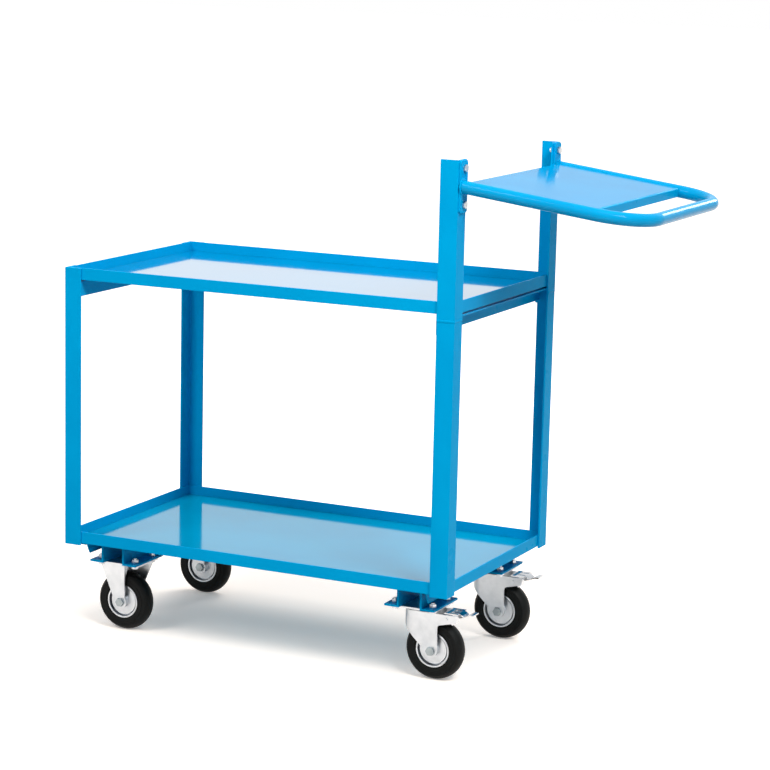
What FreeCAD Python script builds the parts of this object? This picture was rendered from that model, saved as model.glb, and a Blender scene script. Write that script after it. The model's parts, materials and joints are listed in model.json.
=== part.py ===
import FreeCAD, Part
import math
import os
from types import SimpleNamespace

import Sketcher
from FreeCAD import Placement, Rotation, Vector

# An order picking trolley: two shelves on four angle legs, two legs carried up as posts for a
# sloping desk with a push handle, two rigid and two braked swivel casters.
# The origin is on the floor under the middle of the whole trolley, +X towards the handle, +Z up.
# Driving dimensions, in millimetres, and one angle in degrees.
sizes = {
    "frame_length": 858,
    "frame_width": 500,
    "leg_flange": 37,
    "leg_wall": 4,
    "leg_bottom": 186,
    "shelf_top": 757,
    "post_top": 1024,
    "seam_height": 721,
    "splice_height": 40,
    "splice_wall": 4,
    "splice_proud": 2.5,
    "rim_height": 24,
    "rim_flange": 25,
    "rim_wall": 3,
    "lower_rim_bottom": 190,
    "floor_wall": 1.5,
    "floor_play": 0.3,
    "rail_height": 30,
    "rail_flange": 30,
    "rail_wall": 3,
    "rail_drop": 4,
    "bar_height": 22,
    "bar_flange": 22,
    "bar_wall": 3,
    "bar_inset": 46,
    "bar_setback": 8,
    "bar_slant": 12,
    "rigid_inset": 96,
    "swivel_inset": 92,
    "caster_side_inset": 85,
    "caster_height": 148,
    "bracket_length": 111,
    "bracket_spread": 53,
    "bracket_flange": 27,
    "bracket_wall": 4,
    "plate_length": 105,
    "plate_width": 85,
    "plate_wall": 3.5,
    "plate_round": 6,
    "bolt_pitch_long": 80,
    "bolt_pitch_wide": 66,
    "bolt_diameter": 8,
    "bolt_play": 0.4,
    "bolt_head_flats": 13,
    "bolt_head_height": 5.3,
    "nut_height": 6.5,
    "thread_stub": 2.5,
    "wheel_diameter": 122,
    "tyre_width": 34,
    "crown_radius": 21,
    "rib_depth": 0.8,
    "rim_diameter": 70,
    "seat_play": 0.02,
    "disc_wall": 2,
    "disc_offset": 13,
    "disc_edge": 28.5,
    "disc_groove": 8,
    "lip_width": 16.6,
    "lip_inner": 32,
    "hub_diameter": 26,
    "hub_side_play": 0.2,
    "axle_diameter": 10,
    "axle_head_flats": 16,
    "axle_head_height": 5,
    "running_play": 0.05,
    "fork_gap": 46,
    "fork_wall": 2.5,
    "foot_diameter": 27,
    "rigid_leg_back": 49,
    "rigid_leg_front": 10,
    "fold_gap": 18,
    "fold_peak_drop": 4,
    "fold_knee_gap": 38,
    "fold_knee_drop": 29,
    "fold_foot_drop": 72,
    "swivel_trail": 34,
    "head_radius": 30,
    "head_skirt": 28,
    "arm_length": 88,
    "arm_lean": 4,
    "arm_root_height": 114,
    "arm_tip_height": 123,
    "arm_round": 6,
    "arm_slot": 55,
    "ball_diameter": 6.35,
    "ball_play": 0.2,
    "ball_circle_radius": 21,
    "race_wall": 2.5,
    "race_depth": 5.5,
    "king_pin_diameter": 12,
    "king_head_diameter": 22,
    "king_head_height": 4,
    "king_head_play": 0.3,
    "pedal_pin_diameter": 6,
    "pedal_pin_x": 66,
    "pedal_pin_height": 129,
    "pedal_pin_end": 1.5,
    "pedal_wall": 2.5,
    "pedal_start": 59.5,
    "pedal_length": 58,
    "pedal_lift": 0.5,
    "pedal_side_play": 1,
    "pedal_dip": 5,
    "pedal_tip_width": 26,
    "lug_wall": 3,
    "lug_radius": 5.5,
    "shoe_length": 3.5,
    "shoe_width": 30,
    "shoe_gap": 7,
    "desk_tilt": 7.1,
    "desk_drop": 50,
    "desk_reach": 355,
    "desk_bend_radius": 92,
    "tube_diameter": 25,
    "tube_wall": 1.5,
    "tube_inset": 13,
    "desk_start": 4,
    "desk_depth": 258,
    "desk_sheet_wall": 2,
    "desk_sheet_rise": 8,
    "desk_sheet_play": 0.1,
    "desk_lip": 18,
    "desk_bend": 3.5,
    "tab_width": 32,
    "tab_height": 98,
    "tab_wall": 4,
    "tab_round": 6,
    "tab_bolt_pitch": 68,
    "overrun": 5,
}
# Shares of the pedal's length: the end of the flat tread, the dip and the rise of its toe
pedal_tread_share = 0.5
pedal_dip_share = 0.66
pedal_rise_share = 0.86
# Shares of the tyre's wall between bead and shoulder: where its raised band starts and ends
band_low_share = 0.2
band_high_share = 0.62
ball_count = 18
leg_corners = ((-1, -1), (1, -1), (1, 1), (-1, 1))
end_names = {-1: "left", 1: "right"}
side_names = {-1: "front", 1: "rear"}

doc = FreeCAD.newDocument("order_picking_trolley")
sheet = doc.addObject("Spreadsheet::Sheet", "sizes")
for row, (alias, number) in enumerate(sizes.items(), 1):
    sheet.set(f"A{row}", alias)
    sheet.set(f"B{row}", str(number))
    sheet.setAlias(f"B{row}", alias)
doc.recompute()


class Size:
    """A length that knows its formula over the sheet and its present number."""

    def __init__(self, formula, number):
        self.formula = formula
        self.number = number

    def __add__(self, other):
        other = as_size(other)
        return Size(f"({self.formula} + {other.formula})", self.number + other.number)

    def __sub__(self, other):
        other = as_size(other)
        return Size(f"({self.formula} - {other.formula})", self.number - other.number)

    def __mul__(self, other):
        other = as_size(other)
        return Size(f"({self.formula} * {other.formula})", self.number * other.number)

    def __truediv__(self, other):
        other = as_size(other)
        return Size(f"({self.formula} / {other.formula})", self.number / other.number)

    def __neg__(self):
        return Size(f"(0 - {self.formula})", -self.number)

    __rmul__ = __mul__
    __radd__ = __add__


def as_size(value):
    if isinstance(value, Size):
        return value
    return Size(repr(float(value)), float(value))


def cosine(angle):
    return Size(f"cos({angle.formula} * 1 deg)", math.cos(math.radians(angle.number)))


def sine(angle):
    return Size(f"sin({angle.formula} * 1 deg)", math.sin(math.radians(angle.number)))


def tangent(angle):
    return sine(angle) / cosine(angle)


def root(square):
    return Size(f"sqrt({square.formula})", math.sqrt(square.number))


d = SimpleNamespace(**{alias: Size(f"sizes.{alias}", number) for alias, number in sizes.items()})

# Places that several pieces share
overall_length = (d.frame_length + d.tab_wall + d.desk_reach * cosine(d.desk_tilt)
                  + d.tube_diameter / 2)
left_end = -overall_length / 2
right_end = left_end + d.frame_length
half_width = d.frame_width / 2
end_planes = {-1: left_end, 1: right_end}
tray_length = d.frame_length - 2 * d.leg_wall
tray_width = d.frame_width - 2 * d.leg_wall
tray_centre = (left_end + right_end) / 2
upper_rim_bottom = d.shelf_top - d.rim_height
floor_underside = d.lower_rim_bottom + d.rim_wall
wheel_radius = d.wheel_diameter / 2
axle_radius = d.axle_diameter / 2
plate_underside = d.caster_height - d.plate_wall
crown_top = plate_underside - d.ball_diameter - 2 * d.ball_play
fork_width = d.fork_gap + 2 * d.fork_wall
foot_radius = d.foot_diameter / 2
tube_radius = d.tube_diameter / 2
bolt_hole_radius = d.bolt_diameter / 2 + d.bolt_play
caster_places = {-1: left_end + d.rigid_inset, 1: right_end - d.swivel_inset}
caster_trails = {-1: as_size(0), 1: d.swivel_trail}
caster_row = half_width - d.caster_side_inset
desk_height = d.post_top - d.desk_drop
nodes = []


def node(item, name):
    """Keep an object as a sub-part of the trolley, under its own name."""
    item.Label = name
    nodes.append(item)
    return item


def bind(item, **lengths):
    for name, length in lengths.items():
        item.setExpression(name, as_size(length).formula)
    return item


def place(item, x, y, z, axis=None, angle=0):
    """Put an object at x, y, z, turned about an axis."""
    spot = [as_size(value) for value in (x, y, z)]
    turn = as_size(angle)
    rotation = Rotation(axis or Vector(0, 0, 1), turn.number)
    item.Placement = Placement(Vector(*(value.number for value in spot)), rotation)
    for letter, value in zip("xyz", spot):
        item.setExpression(f"Placement.Base.{letter}", value.formula)
    if isinstance(angle, Size):
        item.setExpression("Placement.Rotation.Angle", f"{turn.formula} * 1 deg")
    return item


def origin_feature(body, role):
    return next(item for item in body.Origin.OriginFeatures if item.Role == role)


def new_body(name):
    return doc.addObject("PartDesign::Body", name + "_body")


def new_sketch(body, role, lift=None):
    """A sketch on an origin plane of its body, lifted along the plane's normal."""
    sketch = body.newObject("Sketcher::SketchObject", body.Name + "_sketch")
    sketch.AttachmentSupport = (origin_feature(body, role), [""])
    sketch.MapMode = "FlatFace"
    if lift is not None:
        sketch.AttachmentOffset = Placement(Vector(0, 0, lift.number), Rotation())
        sketch.setExpression("AttachmentOffset.Base.z", lift.formula)
    return sketch


def hold(sketch, kind, length, *targets):
    """Add a dimension to a sketch and bind it to the sheet."""
    length = as_size(length)
    index = sketch.addConstraint(Sketcher.Constraint(kind, *targets, length.number))
    sketch.setExpression(f"Constraints[{index}]", length.formula)


def hold_point(sketch, edge, end, x, y):
    hold(sketch, "DistanceX", x, -1, 1, edge, end)
    hold(sketch, "DistanceY", y, -1, 1, edge, end)


def outline(sketch, points, arcs=None, closed=True):
    """Draw corners joined by lines, or by an arc where arcs gives (radius, via x, via y)."""
    arcs = arcs or {}
    corners = [(as_size(x), as_size(y)) for x, y in points]
    spots = [Vector(x.number, y.number, 0) for x, y in corners]
    count = len(spots) if closed else len(spots) - 1
    first = sketch.GeometryCount
    starts = []
    for index in range(count):
        start, end = spots[index], spots[(index + 1) % len(spots)]
        if index not in arcs:
            sketch.addGeometry(Part.LineSegment(start, end))
            starts.append((1, 2))
            continue
        via = Vector(as_size(arcs[index][1]).number, as_size(arcs[index][2]).number, 0)
        left_turn = (via - start).cross(end - via).z > 0
        sketch.addGeometry(Part.Arc(start, via, end) if left_turn else Part.Arc(end, via, start))
        starts.append((1, 2) if left_turn else (2, 1))
    for index in range(count):
        if not closed and index == count - 1:
            break
        following = (index + 1) % count
        sketch.addConstraint(Sketcher.Constraint(
            "Coincident", first + index, starts[index][1], first + following, starts[following][0]))
    for index, (x, y) in enumerate(corners[:count]):
        hold_point(sketch, first + index, starts[index][0], x, y)
    if not closed:
        hold_point(sketch, first + count - 1, starts[-1][1], *corners[-1])
    for index, (radius, _, _) in arcs.items():
        hold(sketch, "Radius", radius, first + index)
    return sketch


def circle(sketch, x, y, radius):
    x, y, radius = as_size(x), as_size(y), as_size(radius)
    index = sketch.addGeometry(Part.Circle(Vector(x.number, y.number, 0), Vector(0, 0, 1), radius.number))
    hold_point(sketch, index, 3, x, y)
    hold(sketch, "Radius", radius, index)
    return sketch


def rectangle(sketch, x_low, y_low, x_high, y_high):
    return outline(sketch, ((x_low, y_low), (x_high, y_low), (x_high, y_high), (x_low, y_high)))


def pad(body, sketch, length, both_ways=False, back=False):
    feature = body.newObject("PartDesign::Pad", body.Name + "_pad")
    feature.Profile = sketch
    feature.SideType = "Symmetric" if both_ways else "One side"
    feature.Reversed = back
    return bind(feature, Length=length)


def pocket(body, sketch, length=None, both_ways=False, back=False):
    """Cut a sketch out of its body, right through where no length is given."""
    feature = body.newObject("PartDesign::Pocket", body.Name + "_pocket")
    feature.Profile = sketch
    feature.SideType = "Symmetric" if both_ways else "One side"
    feature.Reversed = back
    if length is None:
        feature.Type = "ThroughAll"
        return feature
    return bind(feature, Length=length)


def revolve(body, sketch, role):
    feature = body.newObject("PartDesign::Revolution", body.Name + "_revolution")
    feature.Profile = sketch
    feature.ReferenceAxis = (origin_feature(body, role), [""])
    return feature


def round_edges(body, radius, wanted):
    """Fillet the edges of the body's last feature that the test picks."""
    doc.recompute()
    base = body.Tip
    picked = [f"Edge{index}" for index, edge in enumerate(base.Shape.Edges, 1) if wanted(edge)]
    feature = body.newObject("PartDesign::Fillet", body.Name + "_fillet")
    feature.Base = (base, picked)
    return bind(feature, Radius=radius)


def runs_along(edge, direction):
    """True for a straight edge along a unit direction."""
    ends = [vertex.Point for vertex in edge.Vertexes]
    if len(ends) < 2:
        return False
    run = ends[-1] - ends[0]
    return abs(run.dot(direction)) > run.Length * math.cos(math.radians(1))


def lies_at(edge, tolerance, **places):
    middle = edge.CenterOfMass
    return all(abs(getattr(middle, letter) - place.number) < tolerance.number
               for letter, place in places.items())


def box(name, length, width, height, x=0, y=0, z=0):
    """A block with its low corner at x, y, z."""
    item = doc.addObject("Part::Box", name)
    bind(item, Length=length, Width=width, Height=height)
    return place(item, x, y, z)


def cylinder(name, radius, height, x=0, y=0, z=0):
    item = doc.addObject("Part::Cylinder", name)
    bind(item, Radius=radius, Height=height)
    return place(item, x, y, z)


def hexagon_prism(name, flats, height, x=0, y=0, z=0):
    """A prism with the six sides that a new prism has."""
    item = doc.addObject("Part::Prism", name)
    bind(item, Circumradius=flats / root(as_size(3)), Height=height)
    return place(item, x, y, z)


def fuse(name, *items):
    item = doc.addObject("Part::MultiFuse", name)
    item.Shapes = list(items)
    item.Refine = True
    return item


def cut(name, base, tool):
    item = doc.addObject("Part::Cut", name)
    item.Base = base
    item.Tool = tool
    return item


def group(name, items):
    item = doc.addObject("Part::Compound", name)
    item.Links = list(items)
    return item


def bolt_and_nut(name, diameter, flats, head_height, grip, x, y, z):
    """A hexagon bolt with its head seated at z, pointing down, and its nut below the grip."""
    head = hexagon_prism(name + "_head", flats, head_height, x, y, z)
    reach = grip + d.nut_height + d.thread_stub
    shank = cylinder(name + "_shank", diameter / 2, reach, x, y, z - reach)
    blank = hexagon_prism(name + "_blank", flats, d.nut_height, x, y, z - grip - d.nut_height)
    bore = cylinder(name + "_bore", diameter / 2 + d.seat_play, d.nut_height + 2 * d.overrun,
                    x, y, z - grip - d.nut_height - d.overrun)
    return [fuse(name + "_bolt", head, shank), cut(name + "_nut", blank, bore)]


# The frame: legs, posts and the plates behind their seams
def leg_angle(name, end, side, low, high):
    """A length of equal angle with its heel at a corner of the frame."""
    body = new_body(name)
    sketch = new_sketch(body, "XY_Plane")
    outline(sketch, ((0, 0), (d.leg_flange, 0), (d.leg_flange, d.leg_wall), (d.leg_wall, d.leg_wall),
                     (d.leg_wall, d.leg_flange), (0, d.leg_flange)))
    pad(body, sketch, high - low)
    quarter_turns = leg_corners.index((end, side))
    place(body, end_planes[end], side * half_width, low, angle=90 * quarter_turns)
    node(body, name)
    return body


def post(side):
    """A leg carried up to the desk, its end flange drilled for the desk's bolts."""
    body = leg_angle(f"post_{side_names[side]}", 1, side, d.seam_height, d.post_top)
    holes = new_sketch(body, "XZ_Plane" if side < 0 else "YZ_Plane")
    for way in side_names:
        circle(holes, d.leg_flange / 2, desk_height - d.seam_height + way * d.tab_bolt_pitch / 2,
               bolt_hole_radius)
    pocket(body, holes, both_ways=True)


def splice_plate(side):
    """A flat plate behind the seam of a leg and its post, proud of their edge."""
    width = d.leg_flange - d.leg_wall + d.splice_proud
    y = side * (half_width - d.leg_wall)
    if side > 0:
        y = y - d.splice_wall
    return box(f"splice_{side_names[side]}", width, d.splice_wall, d.splice_height,
               right_end - d.leg_wall - width, y, upper_rim_bottom - d.splice_height)


for end, side in leg_corners:
    top = d.shelf_top if end < 0 else d.seam_height
    leg_angle(f"leg_{side_names[side]}_{end_names[end]}", end, side, d.leg_bottom, top)
for side in side_names:
    post(side)
node(group("splice_group", [splice_plate(side) for side in side_names]), "splice_plates")


# The two shelves: mitred angle rims and a sheet floor laid in them
def mitred_strip(name, length, depth, height):
    """A strip along X from the origin, with both ends mitred inwards along Y."""
    item = doc.addObject("Part::Wedge", name)
    return bind(item, Xmin=-length / 2, Xmax=length / 2, X2min=depth - length / 2,
                X2max=length / 2 - depth, Ymin=0, Ymax=depth, Zmin=0, Z2min=0, Zmax=height, Z2max=height)


def rim(level, where, length, bottom, x, y, turn):
    name = f"{level}_rim_{where}"
    upright = mitred_strip(name + "_upright", length, d.rim_wall, d.rim_height)
    ledge = mitred_strip(name + "_ledge", length, d.rim_flange, d.rim_wall)
    place(fuse(name + "_angle", upright, ledge), x, y, bottom, angle=turn)
    return node(doc.getObject(name + "_angle"), name)


def shelf(level, bottom):
    half_tray = tray_width / 2
    rim(level, "front", tray_length, bottom, tray_centre, -half_tray, 0)
    rim(level, "right", tray_width, bottom, right_end - d.leg_wall, 0, 90)
    rim(level, "rear", tray_length, bottom, tray_centre, half_tray, 180)
    rim(level, "left", tray_width, bottom, left_end + d.leg_wall, 0, 270)
    inset = d.rim_wall + d.floor_play
    node(box(f"{level}_floor_sheet", tray_length - 2 * inset, tray_width - 2 * inset, d.floor_wall,
             left_end + d.leg_wall + inset, inset - half_tray, bottom + d.rim_wall),
         f"{level}_shelf_floor")


shelf("lower", d.lower_rim_bottom)
shelf("upper", upper_rim_bottom)


# Rails between the legs under the upper shelf, and bars under the lower one
def shelf_rail(end):
    """An angle between the legs at an end, its upright set in under its ledge."""
    name = f"shelf_rail_{end_names[end]}"
    length = tray_width if end < 0 else tray_width - 2 * d.splice_wall
    low = upper_rim_bottom - d.rail_drop - d.rail_height
    outside = end_planes[end] - end * d.leg_wall
    inside = outside - end * d.rail_flange
    upright = box(name + "_upright", d.rail_wall, length, d.rail_height,
                  inside - (d.rail_wall if end < 0 else 0), -length / 2, low)
    ledge = box(name + "_ledge", d.rail_flange, length, d.rail_wall,
                inside if end > 0 else outside, -length / 2, low + d.rail_height - d.rail_wall)
    node(fuse(name + "_angle", upright, ledge), name)


def floor_bar(end):
    """An angle across the underside of the lower shelf, its ends cut on a slant."""
    name = f"floor_bar_{end_names[end]}"
    half = half_width - d.bar_setback
    body = new_body(name)
    upright = new_sketch(body, "YZ_Plane")
    outline(upright, ((-half, 0), (d.bar_slant - half, -d.bar_height),
                      (half - d.bar_slant, -d.bar_height), (half, 0)))
    pad(body, upright, d.bar_wall, back=end > 0)
    ledge = new_sketch(body, "YZ_Plane")
    rectangle(ledge, -half, -d.bar_wall, half, 0)
    pad(body, ledge, d.bar_flange, back=end < 0)
    place(body, end_planes[end] - end * d.bar_inset, 0, d.lower_rim_bottom)
    node(body, name)


for end in end_names:
    shelf_rail(end)
    floor_bar(end)


# Caster brackets: a pair of angles under the floor of the lower shelf for each caster
def bracket_angle(name, hand):
    """One angle of a pair, its foot turned outwards and drilled for two bolts."""
    face = d.bracket_spread / 2
    inside, edge = face - d.bracket_wall, face + d.bracket_flange
    height = floor_underside - d.caster_height
    body = new_body(name)
    section = new_sketch(body, "XZ_Plane")
    outline(section, ((hand * inside, 0), (hand * edge, 0), (hand * edge, d.bracket_wall),
                      (hand * face, d.bracket_wall), (hand * face, height), (hand * inside, height)))
    pad(body, section, d.bracket_length, both_ways=True)
    holes = new_sketch(body, "XY_Plane")
    for way in side_names:
        circle(holes, hand * d.bolt_pitch_long / 2, way * d.bolt_pitch_wide / 2, bolt_hole_radius)
    pocket(body, holes, both_ways=True)
    return body


def caster_bracket(end, side):
    name = f"caster_bracket_{side_names[side]}_{end_names[end]}"
    pair = group(name + "_pair", [bracket_angle(f"{name}_{end_names[hand]}", hand) for hand in end_names])
    place(pair, caster_places[end], side * caster_row, d.caster_height)
    node(pair, name)


def caster_fasteners():
    """Bolts up through the caster plates and the bracket feet, drawn pointing down and turned over."""
    items = []
    for end, side in leg_corners:
        for hand, way in leg_corners:
            items += bolt_and_nut(f"caster_bolt_{len(items)}", d.bolt_diameter, d.bolt_head_flats,
                                  d.bolt_head_height, d.bracket_wall + d.plate_wall,
                                  caster_places[end] + hand * d.bolt_pitch_long / 2,
                                  side * caster_row + way * d.bolt_pitch_wide / 2, -plate_underside)
    bolts = group("caster_bolt_group", items)
    node(place(bolts, 0, 0, 0, Vector(1, 0, 0), 180), "caster_bolts")


for end, side in leg_corners:
    caster_bracket(end, side)
caster_fasteners()


# Caster forks
def plate_pad(body):
    """The drilled top plate of a caster, with rounded corners."""
    plate = new_sketch(body, "XY_Plane", plate_underside)
    rectangle(plate, -d.plate_length / 2, -d.plate_width / 2, d.plate_length / 2, d.plate_width / 2)
    pad(body, plate, d.plate_wall)
    round_edges(body, d.plate_round, lambda edge: runs_along(edge, Vector(0, 0, 1)))


def drill_plate(body):
    holes = new_sketch(body, "XY_Plane", d.caster_height)
    for hand, way in leg_corners:
        circle(holes, hand * d.bolt_pitch_long / 2, way * d.bolt_pitch_wide / 2, bolt_hole_radius)
    pocket(body, holes, d.plate_wall)


def drill_across(body, x, z, radius):
    hole = circle(new_sketch(body, "XZ_Plane"), x, z, radius)
    pocket(body, hole, both_ways=True)


def foot_pad(body, x):
    """Round both legs of a fork about the axle."""
    foot = circle(new_sketch(body, "XZ_Plane"), x, wheel_radius, foot_radius)
    pad(body, foot, fork_width, both_ways=True)


def clear_foot(body, x):
    room = circle(new_sketch(body, "XZ_Plane"), x, wheel_radius, foot_radius + d.overrun)
    pocket(body, room, d.fork_gap, both_ways=True)


def rigid_leg(body, way):
    """One leg of a rigid fork, raked on one edge and folded inwards along the other."""
    sheet_start = d.fork_gap / 2 if way < 0 else -d.fork_gap / 2 - d.fork_wall
    front, back = -way * d.rigid_leg_front, way * d.rigid_leg_back
    leg = new_sketch(body, "XZ_Plane", as_size(sheet_start))
    outline(leg, ((front, plate_underside), (back, plate_underside), (way * foot_radius, wheel_radius),
                  (front, wheel_radius)))
    pad(body, leg, d.fork_wall)
    foot = circle(new_sketch(body, "XZ_Plane", as_size(sheet_start)), 0, wheel_radius, foot_radius)
    pad(body, foot, d.fork_wall)
    fold_start = d.rigid_leg_front - d.fork_wall if way < 0 else -d.rigid_leg_front
    edge, knee = d.fork_gap / 2, d.fold_knee_gap / 2
    fold = new_sketch(body, "YZ_Plane", as_size(fold_start))
    outline(fold, [(way * y, plate_underside - drop) for y, drop in (
        (edge, 0), (d.fold_gap / 2, 0), (d.fold_gap / 2, d.fold_peak_drop), (knee, d.fold_knee_drop),
        (edge, d.fold_foot_drop))])
    pad(body, fold, d.fork_wall)


def rigid_fork(side):
    """A pressed fork under a fixed plate, its two legs raked opposite ways."""
    name = f"rigid_fork_{side_names[side]}"
    body = new_body(name)
    plate_pad(body)
    for way in side_names:
        rigid_leg(body, way)
    drill_across(body, 0, wheel_radius, axle_radius + d.running_play)
    drill_plate(body)
    place(body, caster_places[-1], side * caster_row, 0)
    node(body, name)


def swivel_plate(side):
    """The fixed top plate of a swivel caster, with the skirt round its ball race."""
    name = f"swivel_plate_{side_names[side]}"
    body = new_body(name)
    plate_pad(body)
    skirt = new_sketch(body, "XY_Plane", plate_underside - d.race_depth)
    race_radius = d.ball_circle_radius + d.ball_diameter / 2 + d.ball_play
    circle(skirt, 0, 0, race_radius)
    circle(skirt, 0, 0, race_radius + d.race_wall)
    pad(body, skirt, d.race_depth)
    pin_hole = circle(new_sketch(body, "XY_Plane", d.caster_height), 0, 0,
                      d.king_pin_diameter / 2 + d.seat_play)
    pocket(body, pin_hole, d.plate_wall)
    drill_plate(body)
    place(body, caster_places[1], side * caster_row, 0)
    node(body, name)


def king_pin(side):
    """The rivet that hangs a swivel fork from its plate, its head under the fork's crown."""
    head_top = crown_top - d.fork_wall - d.king_head_play
    head_low = head_top - d.king_head_height
    head_radius, pin_radius = d.king_head_diameter / 2, d.king_pin_diameter / 2
    body = new_body(f"king_pin_{side_names[side]}")
    section = new_sketch(body, "XZ_Plane")
    outline(section, ((0, head_low), (head_radius, head_low), (head_radius, head_top),
                      (pin_radius, head_top), (pin_radius, d.caster_height), (0, d.caster_height)))
    revolve(body, section, "Z_Axis")
    return place(body, caster_places[1], side * caster_row, 0)


def swivel_balls(side):
    """The ring of balls between a swivel plate and the crown of its fork."""
    name = f"swivel_balls_{side_names[side]}"
    balls = []
    height = crown_top + d.ball_play + d.ball_diameter / 2
    for index in range(ball_count):
        turn = 2 * math.pi * index / ball_count
        ball = doc.addObject("Part::Sphere", f"{name}_{index}")
        bind(ball, Radius=d.ball_diameter / 2)
        balls.append(place(ball, d.ball_circle_radius * math.cos(turn),
                           d.ball_circle_radius * math.sin(turn), height))
    node(place(group(name + "_ring", balls), caster_places[1], side * caster_row, 0), name)


def swivel_fork(side):
    """A pressed swivel fork: round head, raked legs, and two arms that carry the brake pedal."""
    name = f"swivel_fork_{side_names[side]}"
    body = new_body(name)
    leg_front = d.swivel_trail + foot_radius
    profile = new_sketch(body, "XZ_Plane")
    outline(profile, ((-d.head_radius, crown_top), (-d.head_radius, crown_top - d.head_skirt),
                      (d.swivel_trail - foot_radius, wheel_radius), (leg_front, wheel_radius),
                      (leg_front, d.arm_root_height), (d.arm_length - d.arm_lean, d.arm_tip_height),
                      (d.arm_length, crown_top)))
    pad(body, profile, fork_width, both_ways=True)
    foot_pad(body, d.swivel_trail)
    round_edges(body, fork_width / 2 - d.running_play, lambda edge: runs_along(edge, Vector(0, 0, 1))
                and lies_at(edge, d.fork_wall, x=-d.head_radius))
    round_edges(body, d.arm_round, lambda edge: runs_along(edge, Vector(0, 1, 0))
                and lies_at(edge, d.fork_wall, x=leg_front, z=d.arm_root_height))
    head_centre = fork_width / 2 - d.head_radius
    ceiling = crown_top - d.fork_wall
    hollow = new_sketch(body, "XZ_Plane")
    rectangle(hollow, head_centre, 0, d.arm_length + d.overrun, ceiling)
    pocket(body, hollow, d.fork_gap, both_ways=True)
    bowl = circle(new_sketch(body, "XY_Plane"), head_centre, 0, d.fork_gap / 2)
    pocket(body, bowl, ceiling, back=True)
    slot = new_sketch(body, "XZ_Plane")
    rectangle(slot, d.arm_slot, ceiling - d.overrun, d.arm_length + d.overrun, crown_top + d.overrun)
    pocket(body, slot, d.fork_gap, both_ways=True)
    clear_foot(body, d.swivel_trail)
    pin_hole = circle(new_sketch(body, "XY_Plane", crown_top), 0, 0,
                      d.king_pin_diameter / 2 + d.running_play)
    pocket(body, pin_hole, d.fork_wall)
    drill_across(body, d.swivel_trail, wheel_radius, axle_radius + d.running_play)
    drill_across(body, d.pedal_pin_x, d.pedal_pin_height, d.pedal_pin_diameter / 2 + d.running_play)
    place(body, caster_places[1], side * caster_row, 0)
    node(body, name)


# The brake: a pressed pedal on a pin between the arms, with a blade that points at the tyre
def tyre_clearance(x, gap):
    """The height at x, from the swivel axis, that stands clear of the tyre by a gap."""
    across = x - d.swivel_trail
    reach = wheel_radius + gap
    return wheel_radius + root(reach * reach - across * across)


def brake_pedal(side):
    name = f"brake_pedal_{side_names[side]}"
    width = d.fork_gap - 2 * d.pedal_side_play
    body = new_body(name)
    under = crown_top + d.pedal_lift
    top = under + d.pedal_wall
    run = d.pedal_length
    tread_end = d.pedal_start + run * pedal_tread_share
    dip_at = d.pedal_start + run * pedal_dip_share
    rise_at = d.pedal_start + run * pedal_rise_share
    tip = d.pedal_start + run
    tread = new_sketch(body, "XZ_Plane")
    rectangle(tread, d.pedal_start, under, tread_end, top)
    pad(body, tread, width, both_ways=True)
    toe = new_sketch(body, "XZ_Plane")
    outline(toe, ((tread_end, under), (dip_at, under - d.pedal_dip), (rise_at, under), (tip, under),
                  (tip, top), (rise_at, top), (dip_at, top - d.pedal_dip), (tread_end, top)))
    pad(body, toe, d.pedal_tip_width, both_ways=True)
    lug = new_sketch(body, "XZ_Plane")
    rectangle(lug, d.pedal_pin_x - d.lug_radius, d.pedal_pin_height - d.lug_radius,
              d.pedal_pin_x + d.lug_radius, under)
    pad(body, lug, width, both_ways=True)
    room = new_sketch(body, "XZ_Plane")
    rectangle(room, d.pedal_pin_x - d.lug_radius - d.overrun,
              d.pedal_pin_height - d.lug_radius - d.overrun,
              d.pedal_pin_x + d.lug_radius + d.overrun, under)
    pocket(body, room, width - 2 * d.lug_wall, both_ways=True)
    shoe_start = d.pedal_pin_x + d.lug_radius
    shoe_end = shoe_start + d.shoe_length
    shoe = new_sketch(body, "XZ_Plane")
    outline(shoe, ((shoe_start, tyre_clearance(shoe_start, d.shoe_gap)),
                   (shoe_end, tyre_clearance(shoe_end, d.shoe_gap)), (shoe_end, under),
                   (shoe_start, under)))
    pad(body, shoe, d.shoe_width, both_ways=True)
    drill_across(body, d.pedal_pin_x, d.pedal_pin_height, d.pedal_pin_diameter / 2 + d.running_play)
    place(body, caster_places[1], side * caster_row, 0)
    node(body, name)


def pedal_pin(side):
    length = fork_width + 2 * d.pedal_pin_end
    item = doc.addObject("Part::Cylinder", f"pedal_pin_{side_names[side]}_rod")
    bind(item, Radius=d.pedal_pin_diameter / 2, Height=length)
    place(item, caster_places[1] + d.pedal_pin_x, side * caster_row + length / 2, d.pedal_pin_height,
          Vector(1, 0, 0), 90)
    node(item, f"pedal_pin_{side_names[side]}")


for side in side_names:
    rigid_fork(side)
    swivel_plate(side)
    swivel_balls(side)
    swivel_fork(side)
    brake_pedal(side)
    pedal_pin(side)
node(group("king_pin_pair", [king_pin(side) for side in side_names]), "king_pins")


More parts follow.
